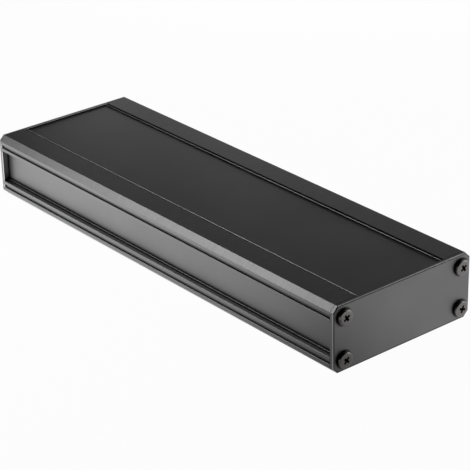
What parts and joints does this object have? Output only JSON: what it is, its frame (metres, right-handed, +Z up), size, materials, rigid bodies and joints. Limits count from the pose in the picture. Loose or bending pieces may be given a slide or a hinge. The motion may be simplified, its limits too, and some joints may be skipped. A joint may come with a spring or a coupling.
{
  "type": "extruded aluminium enclosure",
  "caption": "Long flat black anodised aluminium case for a circuit board, with clipped long edges, sunk side panels, slid-in rimmed covers and screwed end plates.",
  "frame": {"origin": "middle of the underside, on the surface that the case stands on", "axes": "+X along the extrusions towards the front end plate, +Y towards the left side frame, +Z up"},
  "size_m": [0.2392, 0.076, 0.03],
  "materials": {
    "frame_extrusion": "black anodised, satin, fine lines across",
    "cover_sheet": "black anodised, smooth satin",
    "end_plate": "black anodised, smooth satin",
    "screw": "black zinc, semi gloss"
  },
  "bodies": {
    "root": {"left_side_frame": "frame_extrusion", "right_side_frame": "frame_extrusion", "top_cover": "cover_sheet", "bottom_cover": "cover_sheet", "front_end_plate": "end_plate", "rear_end_plate": "end_plate", "front_screw_right_top": "screw", "front_screw_right_bottom": "screw", "front_screw_left_top": "screw", "front_screw_left_bottom": "screw", "rear_screw_right_top": "screw", "rear_screw_right_bottom": "screw", "rear_screw_left_top": "screw", "rear_screw_left_bottom": "screw"}
  },
  "joints": []
}
